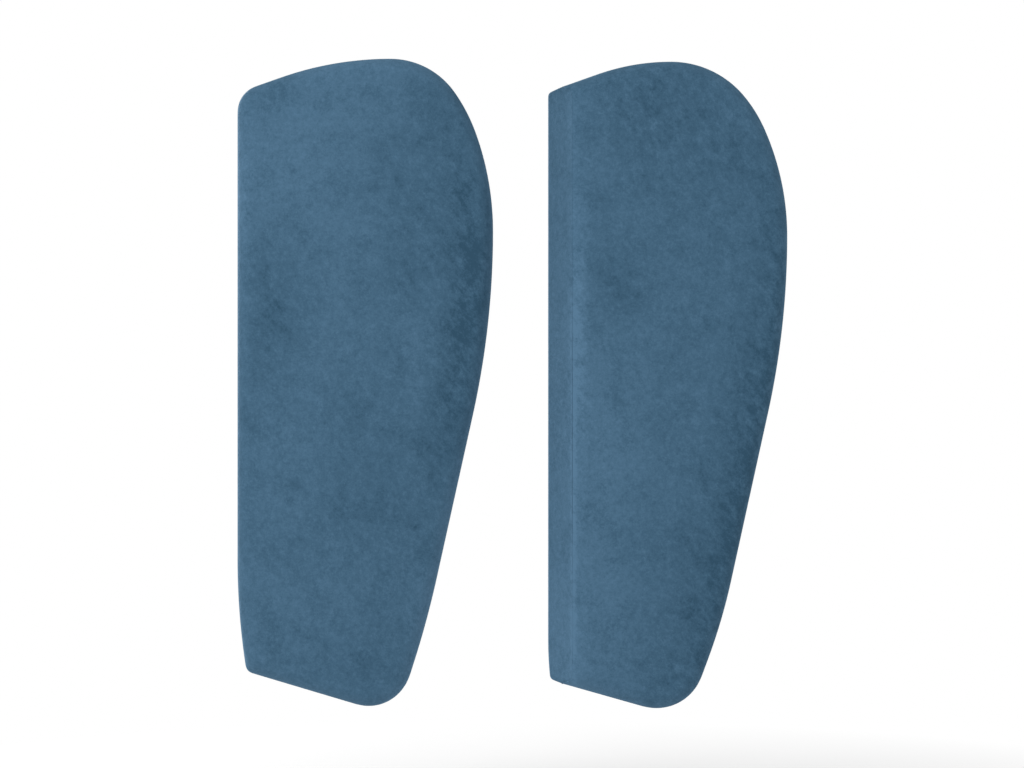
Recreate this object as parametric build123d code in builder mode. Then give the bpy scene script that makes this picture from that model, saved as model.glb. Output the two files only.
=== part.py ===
from build123d import *
import math
import os

# A pair of padded wall striking pads. Each pad is a suede-covered foam pad on a plywood board, and hangs
# on two rails screwed to the wall. X runs to the right, Y into the wall and Z up. Millimetres.
# A pad's own coordinates are x from its straight edge and z from the foot of its outline. A depth is
# measured from the pad's face towards the wall.

# ---- the two outlines, in pad coordinates ----
# The belly is the outline's widest point. Up from it, arcs climb over the shoulder and the brow, and a
# straight run falls to the peak, at the top of the straight edge. Down from it go the flank, in an arc, a
# straight run and an arc, and a straight run to the toe. The foot joins the toe to the heel, where the
# straight edge ends in a shallow arc from the waist. Each arc is a radius and a turn in degrees.
PAD_A = {
    "suffix": "a",
    "left": -274.9,
    "lowest": 2.2,
    "belly": (255, 475),
    "shoulder": [(290, 20), (170, 15), (78, 55)],
    "brow": [(330, 19.3)],
    "upper_flank": (850, 12.5),
    "flank_run": 169,
    "lower_flank": (950, 5),
    "toe_run": 59.4,
    "toe_radius": 42,
    "waist": (0, 146),
    "waist_arc": (700, 9.2),
    "peak_radius": 27,
    "heel_radius": 8,
    "bevelled": False,
    "upper_rail_x": 125,
    "lower_rail_x": 95,
    "bumpers": [(50, 580), (185, 575), (48, 82), (132, 66)],
}
PAD_B = {
    "suffix": "b",
    "left": 36.5,
    "lowest": 0,
    "belly": (238.4, 472),
    "shoulder": [(265, 24), (140, 16), (95, 50)],
    "brow": [(220, 19.5)],
    "upper_flank": (820, 12.4),
    "flank_run": 172,
    "lower_flank": (590, 7.9),
    "toe_run": 64.1,
    "toe_radius": 48,
    "waist": (0, 68),
    "waist_arc": (402, 5.7),
    "peak_radius": 0,
    "heel_radius": 0,
    "bevelled": True,
    "upper_rail_x": 115,
    "lower_rail_x": 90,
    "bumpers": [(45, 580), (165, 580), (45, 80), (118, 70)],
}
PADS = [PAD_A, PAD_B]

# ---- layers of a pad, as depths from its face ----
COVER = 1.2
FACE_SEAM_DEPTH = 14
WADDING_FRONT = 1.5
WADDING_BACK = 4.2
FOAM_FRONT = 4.5
STRIKE_FOAM_BACK = 12.5
BOARD_FRONT = 33
BOARD_BACK = 45
COVER_BACK = BOARD_BACK + COVER
FACE_ROUNDING = 14

# Pad B's straight edge is folded back: a flat strip slopes from the ridge to the side wall.
RIDGE_X = 23
STRIP_DEPTH = 30

# ---- back of a pad, as distances in from the outline ----
TURN_UNDER_INNER = 30
DUST_CLOTH = 0.8
DUST_CLOTH_OUTER = 14
DUST_CLOTH_GAP = 0.3
COVER_STAPLE_LINE = 9.5
DUST_STAPLE_LINE = 20
COVER_STAPLES = 36
DUST_STAPLES = 24
STAPLE_WIDTH = 10
STAPLE_WIRE = 0.7
STAPLE_DEPTH = 1.2
STAPLE_LEG = 8

# ---- hook rails ----
RAIL_SHEET = 2.5
RAIL_HEIGHT = 40
TONGUE_GAP = 3.3
HOOK_DEPTH = 13.5
TONGUE_CHAMFER = 0.6
RAIL_CLEARANCE = 0.5
RAIL_HOLE_RADIUS = 2.75
RAIL_HOLE_DROP = 28
UPPER_RAIL_TIP = 505
LOWER_RAIL_TIP = 165
UPPER_RAIL_LENGTH = 160
LOWER_RAIL_LENGTH = 100
UPPER_HOLE_SPACING = 120
LOWER_HOLE_SPACING = 60

# ---- fasteners and bumpers ----
SCREW_HEAD_RADIUS = 4.75
SCREW_HEAD = 2.6
SCREW_SHANK_RADIUS = 2.4
SCREW_LENGTH = 14
SOCKET_RADIUS = 1.7
SOCKET_DEPTH = 1.5
TEE_FLANGE_RADIUS = 9
TEE_FLANGE = 1.2
TEE_BARREL_RADIUS = 3.1
TEE_BARREL = 9
TEE_BORE_RADIUS = 2.5
TEE_PRONG_RADIUS = 7
TEE_PRONG_THICKNESS = 0.8
TEE_PRONG_WIDTH = 1.8
TEE_PRONG = 6
BUMPER_RADIUS = 10
BUMPER_CLEARANCE = 0.1
BUMPER_ROUNDING = 1.5
BUMPER_RECESS_RADIUS = 4.5
BUMPER_RECESS = 3.2
BUMPER_BORE_RADIUS = 2.2
WOOD_SCREW_HEAD_RADIUS = 3.75
WOOD_SCREW_HEAD = 2.2
WOOD_SCREW_SHANK_RADIUS = 1.9
WOOD_SCREW_LENGTH = 12
WOOD_SCREW_PILOT_RADIUS = 1.4
FIT_CLEARANCE = 0.2

# ---- worked out ----
CLOTH_BACK = BOARD_BACK + DUST_CLOTH
CLOTH_RIM_BACK = COVER_BACK + DUST_CLOTH
DUST_CLOTH_STEP = TURN_UNDER_INNER + DUST_CLOTH_GAP
PAD_STANDOFF = TONGUE_GAP + RAIL_SHEET + RAIL_CLEARANCE
TOTAL_DEPTH = CLOTH_BACK + PAD_STANDOFF
FACE_Y = -TOTAL_DEPTH / 2
WALL_Y = TOTAL_DEPTH / 2
BUMPER_HEIGHT = PAD_STANDOFF - BUMPER_CLEARANCE
TOWARDS_WALL = (0, 1, 0)
TOWARDS_FACE = (0, -1, 0)


def at_depth(pad, depth):
    """Plane parallel to the wall in pad coordinates, looking out of the pad's face."""
    return Plane(
        origin=(pad["left"], FACE_Y + depth, pad["base"]), x_dir=(1, 0, 0), z_dir=TOWARDS_FACE
    )


def back_spot(pad, point, depth, x_dir=(1, 0, 0)):
    """Plane at one point of the pad's back, looking at the wall."""
    x, z = point
    return Plane(
        origin=(pad["left"] + x, FACE_Y + depth, pad["base"] + z), x_dir=x_dir, z_dir=TOWARDS_WALL
    )


def corner_vertex(outline, point):
    """The vertex of an outline nearest to a point."""
    return outline.vertices().sort_by(lambda v: math.dist((v.X, v.Y), point))[0]


def arc_chain(start, heading, arcs):
    """Tangent arcs one after another; gives the last one, from which the outline goes on."""
    for radius, turn in arcs:
        arc = JernArc(start, heading, radius, turn)
        start, heading = arc @ 1, arc % 1
    return arc


def pad_outline(pad, inset=0):
    """The pad's outline, pulled in by inset all round."""
    upper_radius, upper_turn = pad["upper_flank"]
    lower_radius, lower_turn = pad["lower_flank"]
    waist_radius, waist_turn = pad["waist_arc"]
    with BuildSketch() as outline:
        with BuildLine():
            brow = arc_chain(pad["belly"], (0, 1), pad["shoulder"] + pad["brow"])
            fall = brow % 1
            peak = brow @ 1 - fall * ((brow @ 1).X / fall.X)
            Line(brow @ 1, peak)
            Line(peak, pad["waist"])
            waist = JernArc(pad["waist"], (0, -1), waist_radius, waist_turn)
            upper = JernArc(pad["belly"], (0, -1), upper_radius, -upper_turn)
            run = Line(upper @ 1, upper @ 1 + (upper % 1) * pad["flank_run"])
            lower = JernArc(run @ 1, run % 1, lower_radius, -lower_turn)
            toe = lower @ 1 + (lower % 1) * pad["toe_run"]
            Line(lower @ 1, toe)
            Line(toe, waist @ 1)
        make_face()
        corners = {"toe": toe, "peak": peak, "heel": waist @ 1}
        for corner, point in corners.items():
            if pad[corner + "_radius"]:
                fillet(corner_vertex(outline, (point.X, point.Y)), pad[corner + "_radius"])
        if inset:
            offset(amount=-inset, kind=Kind.INTERSECTION)
    return outline.sketch


for pad in PADS:
    pad["base"] = pad["lowest"] - pad_outline(pad).bounding_box().min.Y


def strip_plane(pad, inset):
    """Plane of pad B's folded-back strip, moved into the pad by inset; its normal points into the pad."""
    inward = Vector(STRIP_DEPTH, RIDGE_X, 0).normalized()
    ridge = Vector(pad["left"] + RIDGE_X, FACE_Y, 0)
    return Plane(origin=ridge + inward * inset, x_dir=(0, 0, 1), z_dir=inward)


def ridge_seam_plane(pad):
    """Plane that halves the corner between pad B's face and its strip; its normal points at the face."""
    into_pad = Vector(STRIP_DEPTH, RIDGE_X, 0).normalized() + Vector(TOWARDS_WALL)
    return Plane(
        origin=(pad["left"] + RIDGE_X, FACE_Y, 0), x_dir=(0, 0, 1), z_dir=into_pad.cross(Vector(0, 0, 1))
    )


def rounded_block(pad, inset, back):
    """A pad-shaped block with a rounded face, pulled in by inset, that ends at the depth back."""
    outline = pad_outline(pad, inset)
    with BuildPart() as block:
        with BuildSketch(at_depth(pad, back)):
            add(outline)
        extrude(amount=back - inset)
        face = block.faces().filter_by(GeomType.PLANE).sort_by(Axis.Y)[0]
        rounded = face.edges()
        if pad["bevelled"]:
            rounded = rounded.filter_by(lambda edge: edge.center().X > pad["left"] + RIDGE_X)
        fillet(rounded, FACE_ROUNDING - inset)
        if pad["bevelled"]:
            split(bisect_by=strip_plane(pad, inset), keep=Keep.TOP)
    return block.part


def slab(pad, inset, back, thickness):
    """A slab of the pad's outline, pulled in by inset, that ends at the depth back."""
    outline = pad_outline(pad, inset)
    with BuildPart() as plate:
        with BuildSketch(at_depth(pad, back)):
            add(outline)
        extrude(amount=thickness)
    return plate.part


def cover_shell(pad):
    """The whole sewn cover: face, sides and the turn-under that the staples hold."""
    outside = rounded_block(pad, 0, COVER_BACK)
    inside = rounded_block(pad, COVER, BOARD_BACK)
    window = slab(pad, TURN_UNDER_INNER, COVER_BACK, COVER)
    with BuildPart() as cover:
        add(outside)
        add(inside, mode=Mode.SUBTRACT)
        add(window, mode=Mode.SUBTRACT)
    return cover.part


def outline_spots(pad, inset, count, depth):
    """Planes evenly spaced along the pad's outline on its back, each with x along the outline."""
    path = pad_outline(pad, inset).faces()[0].outer_wire()
    spots = []
    for number in range(count):
        share = (number + 0.5) / count
        point = path.position_at(share)
        along = path.tangent_at(share)
        spots.append(back_spot(pad, (point.X, point.Y), depth, x_dir=(along.X, 0, along.Y)))
    return spots


def staples(spots):
    """A group of staples with their crowns on the given planes."""
    leg_offset = (STAPLE_WIDTH - STAPLE_WIRE) / 2
    with BuildPart() as staple:
        Box(STAPLE_WIDTH, STAPLE_DEPTH, STAPLE_WIRE, align=(Align.CENTER, Align.CENTER, Align.MIN))
        with Locations((-leg_offset, 0), (leg_offset, 0)):
            Box(STAPLE_WIRE, STAPLE_DEPTH, STAPLE_LEG, align=(Align.CENTER, Align.CENTER, Align.MAX))
    with BuildPart() as group:
        with Locations(*spots):
            add(staple.part)
    return group.part


def rail(plane, length, hole_spacing):
    """A Z-shaped hook rail. The plane's origin is on the face that is screwed on, level with the tongue's
    tip; x points away from that face, y towards the tip, and the rail runs along the plane's normal."""
    tongue_back = TONGUE_GAP + RAIL_SHEET
    web_bottom = -HOOK_DEPTH - RAIL_SHEET
    with BuildPart() as body:
        with BuildSketch(plane):
            with BuildLine():
                Polyline(
                    (0, -RAIL_HEIGHT),
                    (RAIL_SHEET, -RAIL_HEIGHT),
                    (RAIL_SHEET, web_bottom),
                    (tongue_back, web_bottom),
                    (tongue_back, -TONGUE_CHAMFER),
                    (tongue_back - TONGUE_CHAMFER, 0),
                    (TONGUE_GAP + TONGUE_CHAMFER, 0),
                    (TONGUE_GAP, -TONGUE_CHAMFER),
                    (TONGUE_GAP, -HOOK_DEPTH),
                    (0, -HOOK_DEPTH),
                    close=True,
                )
            make_face()
        extrude(amount=length / 2, both=True)
        centre = plane.from_local_coords(Vector(0, -RAIL_HOLE_DROP, 0))
        with Locations(Plane(origin=centre, x_dir=(1, 0, 0), z_dir=plane.x_dir)):
            with GridLocations(hole_spacing, 1, 2, 1):
                Hole(RAIL_HOLE_RADIUS)
    return body.part


def rail_places(pad):
    """Name, centre x, tongue tip height, length and hole spacing of the pad's two rails."""
    return [
        ("upper", pad["upper_rail_x"], UPPER_RAIL_TIP, UPPER_RAIL_LENGTH, UPPER_HOLE_SPACING),
        ("lower", pad["lower_rail_x"], LOWER_RAIL_TIP, LOWER_RAIL_LENGTH, LOWER_HOLE_SPACING),
    ]


def wall_rail(pad, x, tip, length, spacing):
    """The rail on the wall, with its tongue pointing up."""
    origin = (pad["left"] + x, WALL_Y, pad["base"] + tip)
    return rail(Plane(origin=origin, x_dir=TOWARDS_FACE, z_dir=(-1, 0, 0)), length, spacing)


def pad_rail(pad, x, tip, length, spacing):
    """The rail on the pad, with its tongue pointing down behind the wall rail's."""
    origin = (pad["left"] + x, FACE_Y + CLOTH_BACK, pad["base"] + tip - HOOK_DEPTH)
    return rail(Plane(origin=origin, x_dir=TOWARDS_WALL, z_dir=(-1, 0, 0)), length, spacing)


def screw_points(pad):
    """Where the screws of the pad's rails are, in pad coordinates."""
    points = []
    for _, x, tip, _, spacing in rail_places(pad):
        for side in (-1, 1):
            points.append((x + side * spacing / 2, tip - HOOK_DEPTH + RAIL_HOLE_DROP))
    return points


def face_panel(pad, cover):
    """Front of the cover, down to the seam round its side and, on pad B, the seam along the ridge."""
    with BuildPart() as panel:
        add(cover)
        split(bisect_by=at_depth(pad, FACE_SEAM_DEPTH), keep=Keep.TOP)
        if pad["bevelled"]:
            split(bisect_by=ridge_seam_plane(pad), keep=Keep.TOP)
    return panel.part


def side_band(cover, panel):
    """The rest of the cover: its sides and the turn-under on the back."""
    with BuildPart() as band:
        add(cover)
        add(panel, mode=Mode.SUBTRACT)
    return band.part


def wadding(pad):
    """Thin wadding between the cover and the foam."""
    outside = rounded_block(pad, WADDING_FRONT, BOARD_BACK)
    inside = rounded_block(pad, WADDING_BACK, BOARD_BACK)
    with BuildPart() as layer:
        add(outside)
        add(inside, mode=Mode.SUBTRACT)
    return layer.part


def foam_layer(pad, keep):
    """One of the two foam layers, glued together where the firm striking layer ends."""
    block = rounded_block(pad, FOAM_FRONT, BOARD_FRONT)
    with BuildPart() as layer:
        add(block)
        split(bisect_by=at_depth(pad, STRIKE_FOAM_BACK), keep=keep)
    return layer.part


def backing_board(pad):
    """Plywood board with holes for the tee nuts and pilot holes for the bumpers' screws."""
    board = slab(pad, FOAM_FRONT, BOARD_BACK, BOARD_BACK - BOARD_FRONT)
    with BuildPart() as drilled:
        add(board)
        with Locations(*[back_spot(pad, point, BOARD_BACK) for point in screw_points(pad)]):
            Hole(TEE_BARREL_RADIUS + FIT_CLEARANCE)
        with Locations(*[back_spot(pad, point, BOARD_BACK) for point in pad["bumpers"]]):
            Hole(WOOD_SCREW_PILOT_RADIUS)
        with Locations(*[back_spot(pad, point, BOARD_FRONT) for point in screw_points(pad)]):
            Cylinder(
                TEE_FLANGE_RADIUS + FIT_CLEARANCE,
                TEE_FLANGE,
                align=(Align.CENTER, Align.CENTER, Align.MIN),
                mode=Mode.SUBTRACT,
            )
    return drilled.part


def tee_nuts(pad):
    """Flanged nuts pressed into the board from the foam side, each with four prongs in the wood."""
    prong_base = TEE_FLANGE / 2
    with BuildPart() as nuts:
        for point in screw_points(pad):
            with BuildSketch(back_spot(pad, point, BOARD_FRONT)):
                Circle(TEE_FLANGE_RADIUS)
            extrude(amount=TEE_FLANGE)
            with BuildSketch(back_spot(pad, point, BOARD_FRONT)):
                Circle(TEE_BARREL_RADIUS)
            extrude(amount=TEE_BARREL)
            with BuildSketch(back_spot(pad, point, BOARD_FRONT + prong_base)):
                with PolarLocations(TEE_PRONG_RADIUS, 4, start_angle=45):
                    Rectangle(TEE_PRONG_THICKNESS, TEE_PRONG_WIDTH)
            extrude(amount=TEE_PRONG)
            with BuildSketch(back_spot(pad, point, BOARD_FRONT)):
                Circle(TEE_BORE_RADIUS)
            extrude(amount=TEE_BARREL, mode=Mode.SUBTRACT)
    return nuts.part


def dust_cloth(pad):
    """Thin cloth over the back. Its border lies on the cover's turn-under and its middle on the board."""
    border = slab(pad, DUST_CLOTH_OUTER, CLOTH_RIM_BACK, DUST_CLOTH)
    middle = slab(pad, DUST_CLOTH_STEP, COVER_BACK, COVER_BACK - BOARD_BACK)
    hollow = slab(pad, DUST_CLOTH_STEP + DUST_CLOTH, CLOTH_RIM_BACK, COVER)
    with BuildPart() as cloth:
        add(border)
        add(middle)
        add(hollow, mode=Mode.SUBTRACT)
        with Locations(*[back_spot(pad, point, CLOTH_BACK) for point in screw_points(pad)]):
            Hole(RAIL_HOLE_RADIUS)
        with Locations(*[back_spot(pad, point, CLOTH_BACK) for point in pad["bumpers"]]):
            Hole(BUMPER_BORE_RADIUS)
    return cloth.part


def headed_screws(spots, head_radius, head, shank_radius, length):
    """A group of pan-head screws with hexagon sockets. Each plane lies under a head, facing the wall."""
    with BuildPart() as screws:
        for spot in spots:
            with BuildSketch(spot):
                Circle(head_radius)
            extrude(amount=head)
            with BuildSketch(spot):
                Circle(shank_radius)
            extrude(amount=-length)
            with BuildSketch(spot.offset(head)):
                RegularPolygon(SOCKET_RADIUS, 6)
            extrude(amount=-SOCKET_DEPTH, mode=Mode.SUBTRACT)
    return screws.part


def rail_screws(pad):
    """Machine screws that hold both pad rails to the tee nuts."""
    spots = [back_spot(pad, point, CLOTH_BACK + RAIL_SHEET) for point in screw_points(pad)]
    return headed_screws(spots, SCREW_HEAD_RADIUS, SCREW_HEAD, SCREW_SHANK_RADIUS, SCREW_LENGTH)


def wall_bumpers(pad):
    """Rubber discs that keep the pad parallel to the wall."""
    tops = [back_spot(pad, point, CLOTH_BACK + BUMPER_HEIGHT) for point in pad["bumpers"]]
    with BuildPart() as bumpers:
        for top in tops:
            with BuildSketch(top):
                Circle(BUMPER_RADIUS)
            extrude(amount=-BUMPER_HEIGHT)
        fillet(bumpers.faces().sort_by(Axis.Y)[-len(tops):].edges(), BUMPER_ROUNDING)
        with Locations(*tops):
            CounterBoreHole(BUMPER_BORE_RADIUS, BUMPER_RECESS_RADIUS, BUMPER_RECESS)
    return bumpers.part


def bumper_screws(pad):
    """Wood screws through the bumpers into the board."""
    seat = CLOTH_BACK + BUMPER_HEIGHT - BUMPER_RECESS
    spots = [back_spot(pad, point, seat) for point in pad["bumpers"]]
    return headed_screws(
        spots, WOOD_SCREW_HEAD_RADIUS, WOOD_SCREW_HEAD, WOOD_SCREW_SHANK_RADIUS, WOOD_SCREW_LENGTH
    )


def pad_pieces(pad):
    """Every piece of one pad and of its wall rails, by name."""
    cover = cover_shell(pad)
    pieces = {"face_panel": face_panel(pad, cover)}
    pieces["side_band"] = side_band(cover, pieces["face_panel"])
    pieces["wadding"] = wadding(pad)
    pieces["strike_foam"] = foam_layer(pad, Keep.TOP)
    pieces["core_foam"] = foam_layer(pad, Keep.BOTTOM)
    pieces["backing_board"] = backing_board(pad)
    pieces["tee_nuts"] = tee_nuts(pad)
    pieces["cover_staples"] = staples(outline_spots(pad, COVER_STAPLE_LINE, COVER_STAPLES, COVER_BACK))
    pieces["dust_cloth"] = dust_cloth(pad)
    pieces["dust_cloth_staples"] = staples(
        outline_spots(pad, DUST_STAPLE_LINE, DUST_STAPLES, CLOTH_RIM_BACK)
    )
    for level, x, tip, length, spacing in rail_places(pad):
        pieces[level + "_pad_rail"] = pad_rail(pad, x, tip, length, spacing)
        pieces[level + "_wall_rail"] = wall_rail(pad, x, tip, length, spacing)
    pieces["rail_screws"] = rail_screws(pad)
    pieces["wall_bumpers"] = wall_bumpers(pad)
    pieces["bumper_screws"] = bumper_screws(pad)
    return pieces


os.makedirs("parts", exist_ok=True)
for pad in PADS:
    for name, piece in pad_pieces(pad).items():
        piece.label = name + "_" + pad["suffix"]
        export_step(piece, "parts/" + piece.label + ".step")
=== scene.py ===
import math

import bmesh
import bpy
import numpy as np
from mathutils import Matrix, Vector, noise
from mathutils.geometry import delaunay_2d_cdt


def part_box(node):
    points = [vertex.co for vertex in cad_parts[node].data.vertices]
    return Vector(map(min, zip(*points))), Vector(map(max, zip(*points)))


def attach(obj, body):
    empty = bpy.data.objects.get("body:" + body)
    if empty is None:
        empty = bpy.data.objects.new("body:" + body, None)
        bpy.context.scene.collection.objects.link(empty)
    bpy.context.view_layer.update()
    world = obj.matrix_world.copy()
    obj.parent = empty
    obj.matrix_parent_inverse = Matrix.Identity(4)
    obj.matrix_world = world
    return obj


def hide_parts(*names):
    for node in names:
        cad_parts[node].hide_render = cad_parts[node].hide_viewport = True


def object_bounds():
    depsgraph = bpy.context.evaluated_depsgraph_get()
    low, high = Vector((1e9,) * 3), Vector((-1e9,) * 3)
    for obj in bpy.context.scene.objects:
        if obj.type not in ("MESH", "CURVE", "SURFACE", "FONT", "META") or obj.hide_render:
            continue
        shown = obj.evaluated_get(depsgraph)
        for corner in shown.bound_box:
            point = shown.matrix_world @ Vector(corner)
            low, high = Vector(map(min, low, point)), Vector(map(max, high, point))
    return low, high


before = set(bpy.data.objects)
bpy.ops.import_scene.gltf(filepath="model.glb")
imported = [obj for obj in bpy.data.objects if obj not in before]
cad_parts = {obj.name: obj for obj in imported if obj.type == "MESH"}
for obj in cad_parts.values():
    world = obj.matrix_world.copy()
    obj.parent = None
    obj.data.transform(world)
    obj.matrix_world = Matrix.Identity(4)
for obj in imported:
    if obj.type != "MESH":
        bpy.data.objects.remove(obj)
cad_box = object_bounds()

# Two suede striking pads on hook rails. A pad's own coordinates are x from its straight edge and z from the
# foot of its outline, held together as a complex number x + zj, and a depth from its face towards the wall.
# All sizes are in metres.

# ---- the outlines: an arc is a radius and a turn in degrees ----
PADS = {
    "a": {
        "belly": 0.255 + 0.475j,
        "shoulder": [(0.290, 20), (0.170, 15), (0.078, 55)],
        "brow": (0.330, 19.3),
        "upper_flank": (0.850, 12.5),
        "flank_run": 0.169,
        "lower_flank": (0.950, 5),
        "toe_run": 0.0594,
        "toe_radius": 0.042,
        "waist": 0.146j,
        "waist_arc": (0.700, 9.2),
        "peak_radius": 0.027,
        "heel_radius": 0.008,
        "bevelled": False,
    },
    "b": {
        "belly": 0.2384 + 0.472j,
        "shoulder": [(0.265, 24), (0.140, 16), (0.095, 50)],
        "brow": (0.220, 19.5),
        "upper_flank": (0.820, 12.4),
        "flank_run": 0.172,
        "lower_flank": (0.590, 7.9),
        "toe_run": 0.0641,
        "toe_radius": 0.048,
        "waist": 0.068j,
        "waist_arc": (0.402, 5.7),
        "peak_radius": 0,
        "heel_radius": 0,
        "bevelled": True,
    },
}

# ---- depths and distances in from the outline ----
FACE_ROUNDING = 0.014
SEAM_DEPTH = 0.014
RIDGE_X = 0.023
STRIP_DEPTH = 0.030
BOARD_BACK = 0.045
COVER_BACK = 0.0462
DUST_CLOTH_EDGE = 0.014
DUST_CLOTH_RIM = 0.0470
DUST_CLOTH_BACK = 0.0458
SUEDE_THICKNESS = 0.0010
DUST_CLOTH_THICKNESS = 0.0005
STRIP_END_X = RIDGE_X * (1 - SEAM_DEPTH / STRIP_DEPTH)

# ---- how the cover is stuffed and sewn ----
CROWN = 0.0038
ROLL_RIGHT = 0.055
ROLL_LEFT = 0.022
ROLL_ENDS = 0.030
SWELL = 0.0030
SWELL_PRESSURE = 4.0
SWELL_CLEARANCE = (0.004, 0.016)
SEAM_GROOVE = 0.0013
SEAM_RETREAT = 0.0011
RIDGE_RETREAT = 0.00024
RIDGE_GROOVE = 0.0003
RIDGE_GROOVE_DEEPEST = 0.0017
RIDGE_GROOVE_Z = 0.27
RIDGE_GROOVE_REACH = 0.11
SIDE_BULGE = 0.0005
PUCKER = 0.00018
PUCKER_LENGTH = 0.009
PUCKER_REACH = 0.004
LUMP = 0.00016
LUMP_LENGTH = 0.045
LUMP_FADE = 0.020
LIP_IN = 0.35
LIP_BACK = 0.3
CORNER_FADE = 4
CLOTH_FRAMES = 20

# ---- the side wall and its turn-under ----
# A clearance is how far off something starts, and how far it takes to grow to its full size.
WALL_SHARES = (0.06, 0.16, 0.3, 0.45, 0.6, 0.75, 0.88, 0.96, 1)
WALL_FOOT = BOARD_BACK - 0.0008
BACK_EDGE = ((0.00035, 0.0006), (0.0012, 0))
WALL_PUCKER_REACH = 0.006
STRIP_JOIN_REACH = 0.004
TIGHT_TURN = 0.03
TIGHT_PASSES = 12
PLEAT_LENGTH = 0.017
PLEAT_HEIGHT = 0.0016
PLEAT_CLEARANCE = (0.004, 0.004)
PLEAT_INNER = 0.0145
PLEAT_FADE = 0.004
PUFF = 0.00035
PUFF_CLEARANCE = (0.006, 0.012)

# ---- the dust cloth ----
# Each kind of folds has a height, an upward stretch, a length and a seed.
RAILS = ("upper_pad_rail_", "lower_pad_rail_", "upper_wall_rail_", "lower_wall_rail_")
RAIL_LIFT = 0.014
STAPLE_CLEARANCE = (0.004, 0.02)
BUMPER_CLEARANCE = (0.011, 0.008)
HEM_CLEARANCE = (0.019, 0.010)
RAIL_CLEARANCE = (0.002, 0.012)
RIM_STEP_CLEARANCE = (0.0155, 0.0025)
BETWEEN_STAPLES = 0.0003
BETWEEN_CLEARANCE = (0.005, 0.015)
BETWEEN_INNER = 0.016
BETWEEN_FADE = 0.002
UPRIGHT_FOLDS = (0.0021, 0.16, 0.018, 5)
SLANTED_FOLDS = (0.0019, 0.2, 0.024, 8)
SLANT = np.array([[0.82, -0.57, 0], [0.57, 0.82, 0], [0, 0, 1]])
FOLD_SHARPNESS = 0.26
FOLD_PATCH = 0.085
FOLD_SHARE = 0.45
FOLD_CONTRAST = 1.6

# ---- meshing ----
OUTLINE_STEP = 0.004
LATTICE = 0.0065
NEARLY = 0.00005
MERGED = 0.00004
DEGENERATE = 0.00002
ROUNDING_STEPS = 9
RIDGE_HALVINGS = 25
RIM_ANGLES = (15, 30, 45, 60, 75, 90)
RIM_INSETS = [FACE_ROUNDING * (1 - math.cos(math.radians(angle))) for angle in RIM_ANGLES]
FACE_INSETS = RIM_INSETS + [0.0185, 0.0235, 0.029, 0.035]
STRIP_INSETS = [0.0008, 0.0025, 0.006]
FLANGE_INSETS = [0.0027, 0.0055, 0.0085, 0.012, 0.016, 0.022, 0.027]
CLOTH_INSETS = [0.001, 0.0025, 0.005, 0.008, 0.012, 0.015, 0.0165, 0.0185]


# ---- outlines ----


def chain(start, heading, arcs):
    """Points along tangent arcs, the start among them, and the heading at their end."""
    points = [start]
    for radius, turn in arcs:
        sweep = math.radians(turn)
        centre = points[-1] + 1j * math.copysign(radius, turn) * heading
        steps = max(2, round(radius * abs(sweep) / OUTLINE_STEP))
        turned = np.exp(1j * np.linspace(0, sweep, steps + 1)[1:])
        points.extend(centre + (points[-1] - centre) * turned)
        heading = heading * turned[-1]
    return points, heading


def rounded(before, corner, after, radius):
    """The points of an arc that rounds a corner, or the corner itself where it is sharp."""
    if not radius:
        return [corner]
    back = (before - corner) / abs(before - corner)
    on = (after - corner) / abs(after - corner)
    middle = (back + on) / abs(back + on)
    half = math.acos((back * middle.conjugate()).real)
    centre = corner + middle * radius / math.sin(half)
    start = corner + back * radius / math.tan(half)
    turned = np.exp(1j * np.linspace(0, math.pi - 2 * half, ROUNDING_STEPS))
    return list(centre + (start - centre) * turned)


def evenly(points):
    """The same line with points evenly spaced, without its last one."""
    points = np.array(points)
    run = np.concatenate([[0], np.cumsum(abs(np.diff(points)))])
    steps = np.linspace(0, run[-1], round(run[-1] / OUTLINE_STEP) + 1)[:-1]
    return np.interp(steps, run, points.real) + 1j * np.interp(steps, run, points.imag)


def outline(pad):
    """The outline, counter-clockwise from its peak: the straight edge down to the heel, and the rest."""
    crown, heading = chain(pad["belly"], 1j, pad["shoulder"] + [pad["brow"]])
    peak = crown[-1] - heading * crown[-1].real / heading.real
    waist, _ = chain(pad["waist"], -1j, [pad["waist_arc"]])
    heel = waist[-1]
    radius, turn = pad["upper_flank"]
    upper, heading = chain(pad["belly"], -1j, [(radius, -turn)])
    radius, turn = pad["lower_flank"]
    lower, heading = chain(upper[-1] + heading * pad["flank_run"], heading, [(radius, -turn)])
    toe = lower[-1] + heading * pad["toe_run"]
    peak_points = rounded(crown[-1], peak, pad["waist"], pad["peak_radius"])
    heel_points = rounded(waist[-2], heel, toe, pad["heel_radius"])
    toe_points = rounded(heel, toe, lower[-1], pad["toe_radius"])
    kept = [point for point in waist if abs(point - heel) > abs(heel_points[0] - heel)]
    straight = evenly(peak_points + kept + heel_points[:1])
    rest = evenly(heel_points + toe_points + lower[::-1] + upper[::-1] + crown[1:] + peak_points[:1])
    return straight, rest


def inward(loop):
    """Unit vectors that point in from each point of a counter-clockwise loop."""
    along = np.roll(loop, -1) - np.roll(loop, 1)
    return 1j * along / abs(along)


def distance(points, line, closed=True):
    """Each point's distance from a line."""
    starts, ends = (line, np.roll(line, -1)) if closed else (line[:-1], line[1:])
    along = ends - starts
    shares = ((points[:, None] - starts) * along.conj()).real / abs(along) ** 2
    return abs(points[:, None] - starts - np.clip(shares, 0, 1) * along).min(1)


def smooth(share):
    """Eases a share from 0 to 1."""
    share = np.clip(share, 0, 1)
    return share * share * (3 - 2 * share)


def beyond(gap, clearance):
    """Eases from 0 to 1 where a gap is more than a clearance."""
    start, growth = clearance
    return smooth((gap - start) / growth)


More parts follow.
